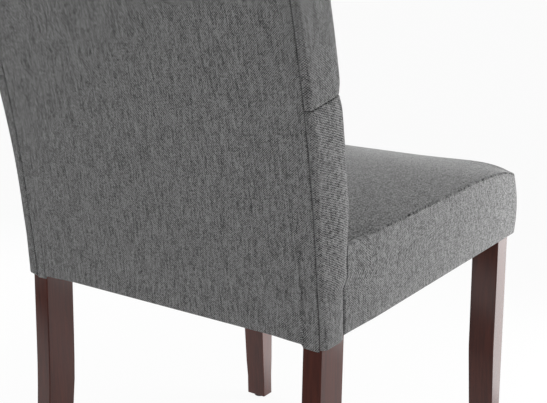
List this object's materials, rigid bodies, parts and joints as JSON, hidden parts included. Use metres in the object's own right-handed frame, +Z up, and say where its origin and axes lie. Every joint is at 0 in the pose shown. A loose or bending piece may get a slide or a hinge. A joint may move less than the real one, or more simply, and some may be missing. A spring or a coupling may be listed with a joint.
{
  "type": "parsons chair",
  "caption": "Upholstered dining chair with a tall reclined padded back, a padded seat and slim wooden legs; it stands on the floor and seats one person.",
  "frame": {"origin": "on the floor, in the middle of the chair's width and depth", "axes": "+X to the sitter's left, +Y to the rear, +Z up; the sitter faces -Y"},
  "size_m": [0.459, 0.5974, 0.9564],
  "materials": {
    "walnut_stained_wood": "satin",
    "beech": "matt, sawn",
    "birch_plywood": "matt",
    "grey_linen": "heathered linen-look weave",
    "grey_linen_outside_back": "heathered linen-look weave",
    "foam": "open-cell foam",
    "wadding": "polyester wadding",
    "webbing": "woven strap",
    "dust_cloth": "non-woven cloth",
    "zinc_plated_steel": "zinc plated",
    "nylon": "moulded"
  },
  "bodies": {
    "root": {"rear_leg_left": "walnut_stained_wood", "front_leg_left": "walnut_stained_wood", "seat_rail_left": "beech", "rear_leg_right": "walnut_stained_wood", "front_leg_right": "walnut_stained_wood", "seat_rail_right": "beech", "seat_rail_front": "beech", "seat_rail_rear": "beech", "back_bottom_rail": "beech", "back_middle_rail": "beech", "back_top_rail": "beech", "corner_block_front_left": "beech", "block_screw_front_left_into_side": "zinc_plated_steel", "block_screw_front_left_into_front": "zinc_plated_steel", "corner_block_rear_left": "beech", "block_screw_rear_left_into_side": "zinc_plated_steel", "block_screw_rear_left_into_rear": "zinc_plated_steel", "deck_screw_front_left": "zinc_plated_steel", "deck_screw_rear_left": "zinc_plated_steel", "corner_block_front_right": "beech", "block_screw_front_right_into_side": "zinc_plated_steel", "block_screw_front_right_into_front": "zinc_plated_steel", "corner_block_rear_right": "beech", "block_screw_rear_right_into_side": "zinc_plated_steel", "block_screw_rear_right_into_rear": "zinc_plated_steel", "deck_screw_front_right": "zinc_plated_steel", "deck_screw_rear_right": "zinc_plated_steel", "seat_deck": "birch_plywood", "seat_foam": "foam", "seat_padding_left": "wadding", "seat_padding_right": "wadding", "seat_padding_front": "wadding", "seat_side_band": "grey_linen", "seat_top_cover": "grey_linen", "dust_cover": "dust_cloth", "back_webbing_1": "webbing", "back_webbing_2": "webbing", "back_webbing_3": "webbing", "back_webbing_4": "webbing", "back_foam": "foam", "back_side_padding_left": "wadding", "back_side_padding_right": "wadding", "outside_back_wadding": "wadding", "back_cover_lower": "grey_linen", "back_cover_middle": "grey_linen", "back_cover_upper": "grey_linen", "outside_back_panel": "grey_linen_outside_back", "foot_glide_front_left": "nylon", "foot_glide_rear_left": "nylon", "foot_glide_front_right": "nylon", "foot_glide_rear_right": "nylon"}
  },
  "joints": []
}
